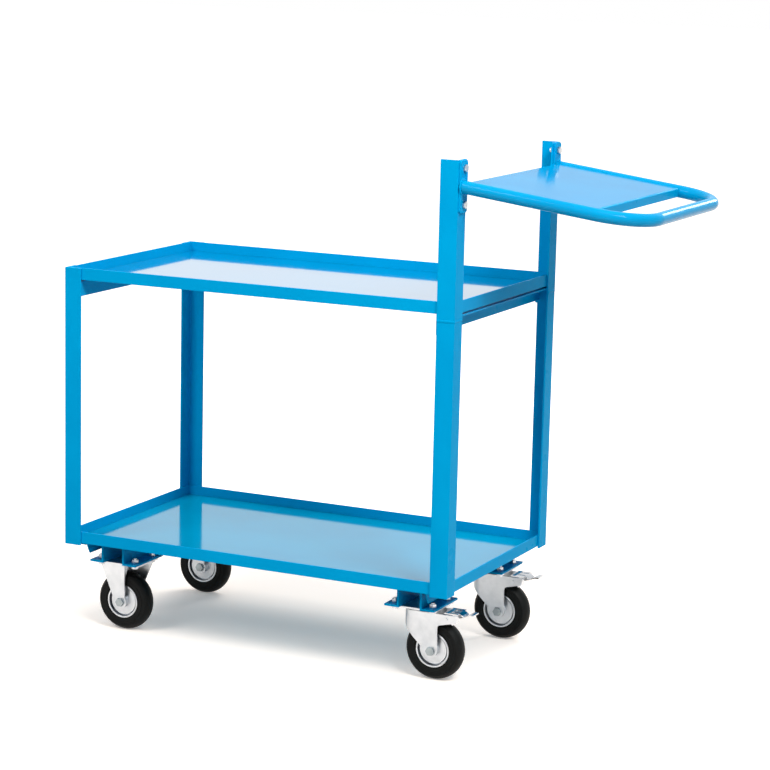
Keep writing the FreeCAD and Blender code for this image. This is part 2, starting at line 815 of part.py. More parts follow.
# Wheels, turned about the Y axis
def tyre(name):
    """A solid rubber tyre with a crowned tread and a raised band on each wall."""
    half, inner = d.tyre_width / 2, d.rim_diameter / 2 + d.seat_play
    crown_base = wheel_radius - d.crown_radius
    shoulder = crown_base + root(d.crown_radius * d.crown_radius - half * half)
    band_low = inner + (shoulder - inner) * band_low_share
    band_high = inner + (shoulder - inner) * band_high_share
    sunk = half - d.rib_depth
    body = new_body(name)
    wall = [(inner, sunk - d.rib_depth), (band_low, sunk), (band_low, half), (band_high, half),
            (band_high, sunk), (shoulder, sunk), (shoulder, half)]
    mirrored = [(x, -y) for x, y in reversed(wall)]
    section = new_sketch(body, "XY_Plane")
    outline(section, wall + mirrored, {len(wall) - 1: (d.crown_radius, wheel_radius, 0)})
    revolve(body, section, "Y_Axis")
    return node(body, name)


def wheel_disc(name, hand):
    """One pressed half of a wheel: dished disc, groove, and a lip that holds the tyre."""
    hub, edge, outer = d.hub_diameter / 2 + d.seat_play, d.disc_edge, d.rim_diameter / 2
    face, back = d.disc_offset, d.disc_offset - d.disc_wall
    low, low_back = face - d.disc_groove, back - d.disc_groove
    bed = outer - d.disc_wall
    points = ((hub, face), (edge, face - d.disc_wall / 2), (edge + d.disc_wall / 2, low),
              (d.lip_inner - d.disc_wall / 2, low), (d.lip_inner, d.lip_width), (outer, d.lip_width),
              (outer, 0), (bed, 0), (bed, low_back), (edge - d.disc_wall / 2, low_back),
              (edge - d.disc_wall, back - d.disc_wall / 2), (hub, back))
    body = new_body(name)
    section = new_sketch(body, "XY_Plane")
    outline(section, [(x, hand * y) for x, y in points])
    revolve(body, section, "Y_Axis")
    return body


def hub(name):
    """The tube that carries both discs and runs on the axle."""
    body = new_body(name)
    ring = new_sketch(body, "XZ_Plane")
    circle(ring, 0, 0, d.hub_diameter / 2)
    circle(ring, 0, 0, axle_radius + d.running_play)
    pad(body, ring, d.fork_gap - 2 * d.hub_side_play, both_ways=True)
    return node(body, name)


def axle(name, x, y):
    """A hexagon axle bolt through both fork legs, its nut on the inner side."""
    items = bolt_and_nut(name, d.axle_diameter, d.axle_head_flats, d.axle_head_height, fork_width,
                         as_size(0), as_size(0), fork_width / 2)
    node(place(group(name + "_group", items), x, y, wheel_radius, Vector(1, 0, 0), 90), name)


def wheel(end, side):
    suffix = f"{side_names[side]}_{end_names[end]}"
    x, y = caster_places[end] + caster_trails[end], side * caster_row
    discs = [wheel_disc(f"disc_{suffix}_{side_names[hand]}", hand) for hand in side_names]
    pieces = [tyre(f"tyre_{suffix}"),
              node(group(f"disc_{suffix}_pair", discs), f"wheel_discs_{suffix}"),
              hub(f"wheel_hub_{suffix}")]
    for piece in pieces:
        place(piece, x, y, wheel_radius)
    axle(f"axle_{suffix}", x, y)


for end, side in leg_corners:
    wheel(end, side)


# The desk: a bent tube welded to two bolted tabs, with a sheet between its arms
def desk_place(item):
    return place(item, right_end + d.tab_wall, 0, desk_height, Vector(0, 1, 0), d.desk_tilt)


def desk_tube():
    """One tube bent to a U, its open ends trimmed upright against the tabs."""
    body = new_body("desk_tube")
    arm = half_width - d.tube_inset
    bend, reach = d.desk_bend_radius, d.desk_reach
    diagonal_share = math.sqrt(0.5)
    near = reach - bend * (1 - diagonal_share)
    far = arm - bend * (1 - diagonal_share)
    path = new_sketch(body, "XY_Plane")
    outline(path, ((-d.overrun, -arm), (reach - bend, -arm), (reach, bend - arm), (reach, arm - bend),
                   (reach - bend, arm), (-d.overrun, arm)),
            {1: (bend, near, -far), 3: (bend, near, far)}, closed=False)
    section = new_sketch(body, "YZ_Plane", -d.overrun)
    circle(circle(section, -arm, 0, tube_radius), -arm, 0, tube_radius - d.tube_wall)
    pipe = body.newObject("PartDesign::AdditivePipe", "desk_tube_pipe")
    pipe.Profile = section
    pipe.Spine = (path, [])
    slope = tangent(d.desk_tilt) * d.tube_diameter
    trim = new_sketch(body, "XZ_Plane")
    outline(trim, ((-slope, d.tube_diameter), (slope, -d.tube_diameter),
                   (-slope - 2 * d.overrun, -d.tube_diameter), (-slope - 2 * d.overrun, d.tube_diameter)))
    pocket(body, trim, both_ways=True)
    desk_place(body)
    node(body, "desk_tube")


def desk_sheet():
    """The writing surface, with its outer edge turned down to a lip."""
    body = new_body("desk_sheet")
    low = d.desk_sheet_rise - d.desk_sheet_wall
    start, end = d.desk_start, d.desk_start + d.desk_depth
    inner = end - d.desk_sheet_wall
    section = new_sketch(body, "XZ_Plane")
    outline(section, ((start, low), (inner, low), (inner, d.desk_sheet_rise - d.desk_lip),
                      (end, d.desk_sheet_rise - d.desk_lip), (end, d.desk_sheet_rise),
                      (start, d.desk_sheet_rise)))
    flank = root(tube_radius * tube_radius - low * low) + d.desk_sheet_play
    half = half_width - d.tube_inset - flank
    pad(body, section, 2 * half, both_ways=True)
    lip_half = half_width - d.tube_inset - tube_radius - d.desk_sheet_play
    notches = new_sketch(body, "YZ_Plane")
    for way in side_names:
        rectangle(notches, way * lip_half, -d.desk_lip, way * (half + d.overrun), low)
    pocket(body, notches, both_ways=True)
    round_edges(body, d.desk_bend, lambda edge: runs_along(edge, Vector(0, 1, 0))
                and lies_at(edge, d.desk_sheet_wall / 2, x=end, z=d.desk_sheet_rise))
    round_edges(body, d.desk_bend - d.desk_sheet_wall, lambda edge: runs_along(edge, Vector(0, 1, 0))
                and lies_at(edge, d.desk_sheet_wall / 2, x=inner, z=low))
    desk_place(body)
    node(body, "desk_sheet")


def desk_tab(side):
    """The flat tab at an end of the desk tube, bolted to the end face of a post."""
    name = f"desk_tab_{side_names[side]}"
    body = new_body(name)
    face = new_sketch(body, "YZ_Plane")
    rectangle(face, -d.tab_width / 2, -d.tab_height / 2, d.tab_width / 2, d.tab_height / 2)
    pad(body, face, d.tab_wall)
    round_edges(body, d.tab_round, lambda edge: runs_along(edge, Vector(1, 0, 0)))
    holes = new_sketch(body, "YZ_Plane")
    for way in side_names:
        circle(holes, 0, way * d.tab_bolt_pitch / 2, bolt_hole_radius)
    pocket(body, holes, both_ways=True)
    place(body, right_end, tab_line(side), desk_height)
    node(body, name)


def tab_line(side):
    """The line down the middle of a post's end flange, where its tab and bolts sit."""
    return side * (half_width - d.leg_flange / 2)


def desk_fasteners():
    """Bolts through the tabs and the end flanges of the posts, heads outwards."""
    items = []
    for side in side_names:
        for way in side_names:
            items += bolt_and_nut(f"desk_bolt_{len(items)}", d.bolt_diameter, d.bolt_head_flats,
                                  d.bolt_head_height, d.tab_wall + d.leg_wall,
                                  -way * d.tab_bolt_pitch / 2, tab_line(side), d.tab_wall)
    bolts = group("desk_bolt_group", items)
    node(place(bolts, right_end, 0, desk_height, Vector(0, 1, 0), 90), "desk_bolts")


desk_tube()
desk_sheet()
for side in side_names:
    desk_tab(side)
desk_fasteners()

doc.recompute()
troubled = [item.Name for item in doc.Objects if {"Invalid", "Error"} & set(item.State)]
troubled += [item.Label for item in nodes if item.Shape.isNull() or not item.Shape.isValid()]
if troubled:
    raise RuntimeError("failed: " + ", ".join(troubled))
os.makedirs("parts", exist_ok=True)
for item in nodes:
    item.Shape.exportStep(f"parts/{item.Label}.step")
print(len(nodes), "nodes written")
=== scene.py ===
import json
import math

import bpy
from mathutils import Matrix, Vector


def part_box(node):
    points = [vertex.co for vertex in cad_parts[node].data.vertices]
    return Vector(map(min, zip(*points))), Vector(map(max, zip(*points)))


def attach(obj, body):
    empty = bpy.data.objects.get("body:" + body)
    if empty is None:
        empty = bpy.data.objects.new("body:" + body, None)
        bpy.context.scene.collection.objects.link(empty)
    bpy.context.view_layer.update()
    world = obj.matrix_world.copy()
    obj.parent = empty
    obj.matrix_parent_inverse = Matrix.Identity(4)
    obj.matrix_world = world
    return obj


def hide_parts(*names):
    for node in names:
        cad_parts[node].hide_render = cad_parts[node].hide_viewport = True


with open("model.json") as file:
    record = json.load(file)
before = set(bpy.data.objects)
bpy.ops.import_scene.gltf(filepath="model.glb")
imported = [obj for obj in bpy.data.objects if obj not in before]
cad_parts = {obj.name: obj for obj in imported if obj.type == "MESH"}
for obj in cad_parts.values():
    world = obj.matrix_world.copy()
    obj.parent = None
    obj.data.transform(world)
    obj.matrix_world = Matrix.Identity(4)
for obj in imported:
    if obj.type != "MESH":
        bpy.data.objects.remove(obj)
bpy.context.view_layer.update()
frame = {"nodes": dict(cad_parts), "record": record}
print("frame loaded:", len(frame["nodes"]), "nodes")


# colours are written as sRGB hex and turned to linear here
def linear(hexColour):
    parts = [int(hexColour[i:i + 2], 16) / 255 for i in (1, 3, 5)]
    return [p / 12.92 if p <= 0.04045 else ((p + 0.055) / 1.055) ** 2.4 for p in parts] + [1.0]


# one node with its settings, and links given as {input: (node, output)}
def addNode(tree, kind, settings=None, links=None):
    node = tree.nodes.new(kind)
    for name, value in (settings or {}).items():
        if hasattr(node, name):
            setattr(node, name, value)
        else:
            node.inputs[name].default_value = value
    for name, (source, output) in (links or {}).items():
        tree.links.new(source.outputs[output], node.inputs[name])
    return node


def metres(millimetres):
    return millimetres / 1000


def perMetre(sizeMm):
    return 1000 / sizeMm  # noise cells per metre for a pattern of this size


def newMaterial(name):
    material = bpy.data.materials.new(name)
    material.use_nodes = True
    tree = material.node_tree
    tree.nodes.clear()
    return material, tree


# hot-rolled sections carry the coat over their mill skin, so it shines less than on cold-rolled sheet
frameCoat = {
    "name": "blue_powder_coat_on_sections",
    "colour": "#0099D0",
    "paler": "#009FD5",
    "cloudMm": 160,
    "cloudDetail": 3.0,
    "cloudEdges": (0.35, 0.65),  # noise levels between which one colour turns into the other
    "gloss": (0.24, 0.34),
    "glossMm": 45,
    "glossDetail": 2.0,
    "peelMm": 3.2,
    "peelDetail": 1.0,
    "peelHeightMm": 0.02,
    "peelStrength": 0.3,
    "ior": 1.06,
    "coat": 0.0,
    "coatIor": 1.5,
    "coatRoughness": 0.05,
}
# the tube and the shelf and desk sheets wear the frame's blue paint with their own gloss and coat, but each
# copy is given a darker blue, the lower sheet's also a greener one, to offset the light on their upward faces
# and the tint of what they mirror: painted shade
tubeCoatPaintedShade = dict(frameCoat, name="blue_coat_on_tube_painted_darker", colour="#0090C4", paler="#0096C9",
                coat=0.5, coatIor=1.2)
upperSheetCoatPaintedShade = dict(frameCoat, name="blue_coat_on_upper_sheet_painted_darker", colour="#0084BA", paler="#008ABF",
                      gloss=(0.07, 0.11), ior=1.5, coat=1.0)
deskSheetCoatPaintedShade = dict(frameCoat, name="blue_coat_on_desk_sheet_painted_darker", colour="#0088BE", paler="#008EC3",
                     gloss=(0.10, 0.16), ior=1.12)
lowerSheetCoatPaintedShade = dict(frameCoat, name="blue_coat_on_lower_sheet_painted_darker_greener", colour="#0092BA", paler="#0098BF",
                      gloss=(0.07, 0.11), ior=1.45, coat=0.05)


# polyester powder coat on steel, sprayed and baked: a hard smooth skin with faint orange peel,
# deep blue when faced and paler at a low angle, where it mirrors the room
def makeBlueCoat(look):
    material, tree = newMaterial(look["name"])
    place = addNode(tree, "ShaderNodeTexCoord")
    cloud = addNode(tree, "ShaderNodeTexNoise",
                    {"Scale": perMetre(look["cloudMm"]), "Detail": look["cloudDetail"]},
                    {"Vector": (place, "Object")})
    colour = addNode(tree, "ShaderNodeValToRGB", None, {"Fac": (cloud, "Fac")})
    for stop, level, tone in zip(colour.color_ramp.elements, look["cloudEdges"], ("colour", "paler")):
        stop.position = level
        stop.color = linear(look[tone])
    patch = addNode(tree, "ShaderNodeTexNoise",
                    {"Scale": perMetre(look["glossMm"]), "Detail": look["glossDetail"]},
                    {"Vector": (place, "Object")})
    gloss = addNode(tree, "ShaderNodeMapRange", {"To Min": look["gloss"][0], "To Max": look["gloss"][1]},
                    {"Value": (patch, "Fac")})
    peel = addNode(tree, "ShaderNodeTexNoise",
                   {"Scale": perMetre(look["peelMm"]), "Detail": look["peelDetail"]},
                   {"Vector": (place, "Object")})
    bump = addNode(tree, "ShaderNodeBump",
                   {"Strength": look["peelStrength"], "Distance": metres(look["peelHeightMm"])},
                   {"Height": (peel, "Fac")})
    shader = addNode(tree, "ShaderNodeBsdfPrincipled",
                     {"IOR": look["ior"], "Coat Weight": look["coat"],
                      "Coat Roughness": look["coatRoughness"], "Coat IOR": look["coatIor"]},
                     {"Base Color": (colour, "Color"), "Roughness": (gloss, "Result"),
                      "Normal": (bump, "Normal")})
    addNode(tree, "ShaderNodeOutputMaterial", None, {"Surface": (shader, "BSDF")})
    return material


zincPlate = {
    "name": "bright_zinc_plate",
    "colour": "#CDD1D5",
    "duller": "#BBC0C5",
    "cloudMm": 22,
    "cloudDetail": 4.0,
    "cloudEdges": (0.3, 0.7),
    "gloss": (0.26, 0.40),
    "streakMm": 0.9,
    "streakDetail": 2.0,
    "streakSquash": (1.0, 1.0, 0.06),  # the streaks run up and down
    "streakHeightMm": 0.004,
    "streakStrength": 0.25,
}
# feet keep the pedals bright
pedalPlate = dict(zincPlate, name="bright_zinc_plate_worn_smooth", gloss=(0.07, 0.12))
# the axles' zinc is a darker grey than the rest, with the same gloss
axlePlate = dict(zincPlate, name="darker_zinc_plate_on_axles", colour="#9FA8AB", duller="#838C90")


# bright zinc plate on pressed steel: a pale blue-white metal, cloudy where the bath left it,
# with faint rolling streaks under it
def makeZincPlate(look):
    material, tree = newMaterial(look["name"])
    place = addNode(tree, "ShaderNodeTexCoord")
    cloud = addNode(tree, "ShaderNodeTexNoise",
                    {"Scale": perMetre(look["cloudMm"]), "Detail": look["cloudDetail"]},
                    {"Vector": (place, "Object")})
    colour = addNode(tree, "ShaderNodeValToRGB", None, {"Fac": (cloud, "Fac")})
    for stop, level, tone in zip(colour.color_ramp.elements, look["cloudEdges"], ("duller", "colour")):
        stop.position = level
        stop.color = linear(look[tone])
    gloss = addNode(tree, "ShaderNodeMapRange", {"To Min": look["gloss"][0], "To Max": look["gloss"][1]},
                    {"Value": (cloud, "Fac")})
    squash = addNode(tree, "ShaderNodeMapping", {"Scale": look["streakSquash"]}, {"Vector": (place, "Object")})
    streak = addNode(tree, "ShaderNodeTexNoise",
                     {"Scale": perMetre(look["streakMm"]), "Detail": look["streakDetail"]},
                     {"Vector": (squash, "Vector")})
    bump = addNode(tree, "ShaderNodeBump",
                   {"Strength": look["streakStrength"], "Distance": metres(look["streakHeightMm"])},
                   {"Height": (streak, "Fac")})
    shader = addNode(tree, "ShaderNodeBsdfPrincipled", {"Metallic": 1.0},
                     {"Base Color": (colour, "Color"), "Roughness": (gloss, "Result"),
                      "Normal": (bump, "Normal")})
    addNode(tree, "ShaderNodeOutputMaterial", None, {"Surface": (shader, "BSDF")})
    return material


tyreRubber = {
    "name": "black_moulded_rubber",
    "colour": "#070909",
    "dusty": "#0F1313",
    "dustMm": 9,
    "dustDetail": 5.0,
    "dustEdges": (0.45, 0.8),
    "gloss": (0.45, 0.60),
    "grainMm": 0.8,
    "grainDetail": 2.0,
    "grainHeightMm": 0.03,
    "grainStrength": 0.3,
    "ior": 1.22,
}


# moulded black rubber: near matt, with mould grain and a little grey dust
def makeTyreRubber(look):
    material, tree = newMaterial(look["name"])
    place = addNode(tree, "ShaderNodeTexCoord")
    dust = addNode(tree, "ShaderNodeTexNoise",
                   {"Scale": perMetre(look["dustMm"]), "Detail": look["dustDetail"]},
                   {"Vector": (place, "Object")})
    colour = addNode(tree, "ShaderNodeValToRGB", None, {"Fac": (dust, "Fac")})
    for stop, level, tone in zip(colour.color_ramp.elements, look["dustEdges"], ("colour", "dusty")):
        stop.position = level
        stop.color = linear(look[tone])
    gloss = addNode(tree, "ShaderNodeMapRange", {"To Min": look["gloss"][0], "To Max": look["gloss"][1]},
                    {"Value": (dust, "Fac")})
    grain = addNode(tree, "ShaderNodeTexNoise",
                    {"Scale": perMetre(look["grainMm"]), "Detail": look["grainDetail"]},
                    {"Vector": (place, "Object")})
    bump = addNode(tree, "ShaderNodeBump",
                   {"Strength": look["grainStrength"], "Distance": metres(look["grainHeightMm"])},
                   {"Height": (grain, "Fac")})
    shader = addNode(tree, "ShaderNodeBsdfPrincipled", {"IOR": look["ior"]},
                     {"Base Color": (colour, "Color"), "Roughness": (gloss, "Result"),
                      "Normal": (bump, "Normal")})
    addNode(tree, "ShaderNodeOutputMaterial", None, {"Surface": (shader, "BSDF")})
    return material


finishes = {
    "blue_enamel": makeBlueCoat(frameCoat),
    "desk_tube": makeBlueCoat(tubeCoatPaintedShade),
    "upper_shelf_floor": makeBlueCoat(upperSheetCoatPaintedShade),
    "lower_shelf_floor": makeBlueCoat(lowerSheetCoatPaintedShade),
    "desk_sheet": makeBlueCoat(deskSheetCoatPaintedShade),
    "zinc_plate": makeZincPlate(zincPlate),
    "tyre_rubber": makeTyreRubber(tyreRubber),
}
finishes["brake_pedal_front"] = finishes["brake_pedal_rear"] = makeZincPlate(pedalPlate)
axleFinish = makeZincPlate(axlePlate)
for corner in ("front_left", "front_right", "rear_left", "rear_right"):
    finishes["axle_" + corner] = axleFinish
print("finishes made:", len(finishes))


# every solid with sharp corners gets them eased, as rolling, pressing and the coat leave them
easedEdges = {
    "mergeMm": 0.005,
    "discGapMm": 0.02,
    "deskTopFacingForPaintedShade": 0.9,  # how far up or down a face of the desk looks to belong to its top or underside, which keep the desk sheet's darker blue of painted shade
    "flatDegrees": 0.3,
    "cornerDegrees": 32,
    "segments": 3,
    "radiusMm": {
        "leg": 1.2, "post": 1.2, "upper_rim": 0.9, "lower_rim": 0.9, "shelf_rail": 0.9, "floor_bar": 0.9,
        "upper_shelf": 0.4, "lower_shelf": 0.4, "caster_bracket": 0.9, "splice": 0.6, "desk_sheet": 0.6,
        "desk_tab": 0.9, "desk_tube": 0.3, "desk_bolts": 0.35, "caster_bolts": 0.35, "rigid_fork": 0.6,
        "swivel_fork": 0.6, "swivel_plate": 0.6, "king_pins": 0.4, "brake_pedal": 0.5, "pedal_pin": 0.3,
        "axle": 0.4, "wheel_hub": 0.3, "wheel_discs": 0.35, "tyre": 0.5,
    },
}


def only(piece):
    bpy.ops.object.select_all(action="DESELECT")
    piece.select_set(True)
    bpy.context.view_layer.objects.active = piece


def bodyOf(nodeName):
    for body, members in frame["record"]["behaviour"]["bodies"].items():
        if nodeName in members:
            return body


def slotOf(nodeName):
    for row in frame["record"]["subparts"]:
        if row["node"] == nodeName:
            return row["material_slot"]


def finishOf(nodeName):
    return finishes.get(nodeName) or finishes[slotOf(nodeName)]


pedalSlots = {
    "lengthMm": 17.0,
    "widthMm": 5.0,
    "spreadMm": 18.0,  # between the two slots
    "fromHeelMm": 10.5,
    "depthMm": 3.0,
    "endRound": 0.49,  # share of the width that rounds each corner
    "endSegments": 8,
}


# two round-ended slots punched through the flat tread of a brake pedal
def punchSlots(pedal, look):
    low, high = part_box(pedal.name.removesuffix("_eased"))
    middle = (low[1] + high[1]) / 2
    along = low[0] + metres(look["fromHeelMm"] + look["lengthMm"] / 2)
    for side in (-0.5, 0.5):
        across = middle + metres(side * look["spreadMm"])
        bpy.ops.object.select_all(action="DESELECT")
        bpy.ops.mesh.primitive_cube_add(size=metres(1), location=(along, across, high[2]))
        punch = bpy.context.object
        bpy.ops.object.mode_set(mode="EDIT")  # a cube of 1 mm, so it is resized by millimetres
        bpy.ops.transform.resize(value=(look["lengthMm"], look["widthMm"], 2 * look["depthMm"]))
        bpy.ops.object.mode_set(mode="OBJECT")
        for edge in punch.data.edges:
            a, b = [punch.data.vertices[i].co for i in edge.vertices]
            edge.select = abs(a.z - b.z) > metres(1)  # the upright ones
        bpy.ops.object.mode_set(mode="EDIT")
        bpy.ops.mesh.select_mode(type="EDGE")
        bpy.ops.mesh.bevel(offset=metres(look["endRound"] * look["widthMm"]), segments=look["endSegments"])
        bpy.ops.object.mode_set(mode="OBJECT")
        only(pedal)
        cut = pedal.modifiers.new("slot", "BOOLEAN")
        cut.operation = "DIFFERENCE"
        cut.object = punch
        bpy.ops.object.modifier_apply(modifier=cut.name)
        bpy.data.objects.remove(punch)


# the two discs of a wheel touch at its middle; a hair of air there keeps their skins apart
def partDiscs(discs, look):
    low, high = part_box(discs.name.removesuffix("_eased"))
    middle = (low[1] + high[1]) / 2
    touch = metres(look["mergeMm"])
    bpy.ops.object.mode_set(mode="EDIT")
    bpy.ops.mesh.select_mode(type="FACE")
    bpy.ops.mesh.select_all(action="DESELECT")
    bpy.ops.object.mode_set(mode="OBJECT")
    for face in discs.data.polygons:
        offset = face.center.y - middle
        face.select = offset > touch or (offset > -touch and face.normal.y < 0)
    bpy.ops.object.mode_set(mode="EDIT")
    bpy.ops.mesh.split()
    bpy.ops.transform.translate(value=(0, metres(look["discGapMm"]), 0))
    bpy.ops.object.mode_set(mode="OBJECT")


def easeEdges(nodeName, radiusMm, look):
    piece = bpy.data.objects.new(nodeName + "_eased", frame["nodes"][nodeName].data.copy())
    bpy.context.scene.collection.objects.link(piece)
    only(piece)
    if nodeName.startswith("wheel_discs"):
        partDiscs(piece, look)
    bpy.ops.mesh.customdata_custom_splitnormals_clear()
    bpy.ops.object.mode_set(mode="EDIT")
    bpy.ops.mesh.select_all(action="SELECT")
    bpy.ops.mesh.remove_doubles(threshold=metres(look["mergeMm"]))
    bpy.ops.mesh.dissolve_limited(angle_limit=math.radians(look["flatDegrees"]))
    bpy.ops.object.mode_set(mode="OBJECT")
    if nodeName.startswith("brake_pedal"):
        punchSlots(piece, pedalSlots)
    bevel = piece.modifiers.new("easedCorner", "BEVEL")
    bevel.width = metres(radiusMm)
    bevel.segments = look["segments"]
    bevel.limit_method = "ANGLE"
    bevel.angle_limit = math.radians(look["cornerDegrees"])
    bpy.ops.object.modifier_apply(modifier=bevel.name)
    bpy.ops.object.shade_smooth_by_angle(angle=math.radians(look["cornerDegrees"]))
    level = piece.modifiers.new("flatFaces", "WEIGHTED_NORMAL")
    level.keep_sharp = True
    bpy.ops.object.modifier_apply(modifier=level.name)
    piece.data.materials.clear()
    piece.data.materials.append(finishOf(nodeName))
    if nodeName == "desk_sheet":
        piece.data.materials.append(finishes["blue_enamel"])  # its turned-down edges, drawn dull by the press, take the frame's paler blue, while top and underside keep the darker sheet copy: the top is painted darker than its edges, painted shade
        for face in piece.data.polygons:
            face.material_index = int(abs(face.normal.z) < look["deskTopFacingForPaintedShade"])
    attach(piece, bodyOf(nodeName))
    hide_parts(nodeName)


eased = 0
for nodeName, node in sorted(frame["nodes"].items()):
    node.data.materials.clear()
    node.data.materials.append(finishOf(nodeName))
    for start, radiusMm in easedEdges["radiusMm"].items():
        if nodeName.startswith(start):
            easeEdges(nodeName, radiusMm, easedEdges)
            eased += 1
print("eased pieces:", eased)


# arc welds: drops of melted wire in an even row, under the same coat as the steel beside them
weldRow = {
    "dropMm": 2.4,  # from one drop to the next
    "dropSpan": 2.2,  # length of a drop in such steps
    "dropSegments": 16,
    "dropRings": 8,
    "widthMm": 5.5,
    "heightMm": 0.9,
    "skinMm": 0.4,
}
# a row in mm: its length, the middle of its line, the way it runs and the way it faces
welds = {
    "post_seam_front": (33, (226.1, -250.0, 721), (1, 0, 0), (0, -1, 0)),
    "post_seam_front_end": (33, (244.6, -231.5, 721), (0, 1, 0), (1, 0, 0)),
    "post_seam_rear": (33, (226.1, 250.0, 721), (1, 0, 0), (0, 1, 0)),
    "post_seam_rear_end": (33, (244.6, 231.5, 721), (0, 1, 0), (1, 0, 0)),
    "rail_left_front": (25, (-579.4, -246.0, 713), (0, 0, 1), (1, 1, 0)),
    "rail_left_rear": (25, (-579.4, 246.0, 713), (0, 0, 1), (1, -1, 0)),
    "rail_right_front": (25, (213.6, -242.0, 713), (0, 0, 1), (1, 1, 0)),
    "rail_right_rear": (25, (213.6, 242.0, 713), (0, 0, 1), (1, -1, 0)),
    "lower_corner_left_front": (17, (-606.4, -243.0, 203), (0, 0, 1), (1, 1, 0)),
    "lower_corner_left_rear": (17, (-606.4, 243.0, 203), (0, 0, 1), (1, -1, 0)),
    "lower_corner_right_front": (17, (237.6, -243.0, 203), (0, 0, 1), (-1, 1, 0)),
    "lower_corner_right_rear": (17, (237.6, 243.0, 203), (0, 0, 1), (-1, -1, 0)),
    "upper_corner_left_front": (17, (-606.4, -243.0, 746), (0, 0, 1), (1, 1, 0)),
    "upper_corner_left_rear": (17, (-606.4, 243.0, 746), (0, 0, 1), (1, -1, 0)),
    "upper_corner_right_front": (17, (237.6, -243.0, 746), (0, 0, 1), (-1, 1, 0)),
    "upper_corner_right_rear": (17, (237.6, 243.0, 746), (0, 0, 1), (-1, -1, 0)),
}
tubeWeld = dict(weldRow, radiusMm=13.4, heightMm=1.8)
tubeWelds = {"tube_weld_front": (248.6, -237.0, 974), "tube_weld_rear": (248.6, 237.0, 974)}


def makeDrop(look):
    bpy.ops.object.select_all(action="DESELECT")
    bpy.ops.mesh.primitive_uv_sphere_add(segments=look["dropSegments"], ring_count=look["dropRings"],
                                         radius=metres(0.5))
    drop = bpy.context.object
    bpy.ops.object.mode_set(mode="EDIT")  # a ball of 1 mm, resized the same way
    bpy.ops.mesh.select_all(action="SELECT")
    bpy.ops.transform.resize(value=(look["dropSpan"] * look["dropMm"], look["widthMm"], 2 * look["heightMm"]))
    bpy.ops.object.mode_set(mode="OBJECT")
    return drop


# the drops become one closed skin
def flowTogether(bead, look):
    skin = bead.modifiers.new("skin", "REMESH")
    skin.mode = "VOXEL"
    skin.voxel_size = metres(look["skinMm"])
    bpy.ops.object.modifier_apply(modifier=skin.name)
    bpy.ops.object.shade_smooth()
    return bead


def makeRow(lengthMm, look):
    drop = makeDrop(look)
    count = round(lengthMm / look["dropMm"])
    step = metres(look["dropMm"])
    row = drop.modifiers.new("row", "ARRAY")
    row.count = count
    row.use_relative_offset = False
    row.use_constant_offset = True
    row.constant_offset_displace = (step, 0, 0)
    bpy.ops.object.modifier_apply(modifier=row.name)
    bpy.ops.object.mode_set(mode="EDIT")
    bpy.ops.mesh.select_all(action="SELECT")
    bpy.ops.transform.translate(value=(-step * (count - 1) / 2, 0, 0))
    bpy.ops.object.mode_set(mode="OBJECT")
    return flowTogether(drop, look)


def makeRing(look):
    drop = makeDrop(look)
    count = round(2 * math.pi * look["radiusMm"] / look["dropMm"])
    bpy.ops.object.mode_set(mode="EDIT")
    bpy.ops.mesh.select_all(action="SELECT")
    bpy.ops.transform.rotate(value=math.radians(90), orient_axis="Z", center_override=(0, 0, 0))
    bpy.ops.transform.translate(value=(metres(look["radiusMm"]), 0, 0))
    bpy.ops.mesh.spin(steps=count, dupli=True, angle=2 * math.pi, center=(0, 0, 0), axis=(0, 0, 1))
    bpy.ops.object.mode_set(mode="OBJECT")
    return flowTogether(drop, look)


def layWeld(pattern, name, placeMm, along, facing):
    out = Vector(facing).normalized()
    run = Vector(along)
    turn = Matrix((run, out.cross(run), out)).transposed().to_4x4()
    weld = bpy.data.objects.new(name, pattern.data.copy())
    bpy.context.scene.collection.objects.link(weld)
    weld.data.transform(Matrix.Translation(metres(Vector(placeMm))) @ turn)
    weld.data.materials.append(finishes["blue_enamel"])
    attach(weld, "frame")


rows = {length: makeRow(length, weldRow) for length in {row[0] for row in welds.values()}}
for name, (length, placeMm, along, facing) in welds.items():
    layWeld(rows[length], "weld_" + name, placeMm, along, facing)
ring = makeRing(tubeWeld)
for name, placeMm in tubeWelds.items():
    layWeld(ring, name, placeMm, (0, 1, 0), (1, 0, 0))
for pattern in [*rows.values(), ring]:
    bpy.data.objects.remove(pattern)
print("welds laid:", len(welds) + len(tubeWelds))


# places and sizes in metres, power in watts
studio = {
    "floorSize": 60.0,
    "paperSeen": "#FFF4EA",
    "paperBounce": "#B4B4B4",
    "paintedFloorGlow": (0.25, 0.65),  # painted glow of the floor where it is seen, weaker close under the object and stronger far from it: a painted pool of shade under the object and painted light beyond
    "paintedFloorGlowFrom": (0.5, 2.2),  # the distances for these two
    "skyLevel": 0.25,
    "keyLevel": 1.3,
    "keyFrom": (0.10, 0.50, 1.0),
    "keySoftDegrees": 50,
    "boxes": {
        "front_left_softbox": {
            "place": (-1.6, -3.0, 3.4), "aim": (0.0, -0.2, 0.5), "size": 1.8, "power": 84, "mirrored": True,
        },
        "right_softbox": {
            "place": (2.6, -2.0, 3.5), "aim": (0.1, 0.0, 0.5), "size": 1.4, "power": 138, "mirrored": True,
        },
        "rear_softbox": {
            "place": (0.2, 2.7, 3.5), "aim": (-0.1, 0.2, 0.4), "size": 1.4, "power": 32, "mirrored": False,
        },
        "desk_softbox": {
            "place": (0.75, -0.9, 2.3), "aim": (0.3, -0.1, 0.9), "size": 0.8, "power": 5, "mirrored": True,
        },
        # low behind the object, for the bright line along the grip
        "grip_softbox": {
            "place": (1.0, 4.0, 2.05), "aim": (0.6, 0.0, 0.93), "size": 0.9, "power": 30, "mirrored": True,
        },
    },
}


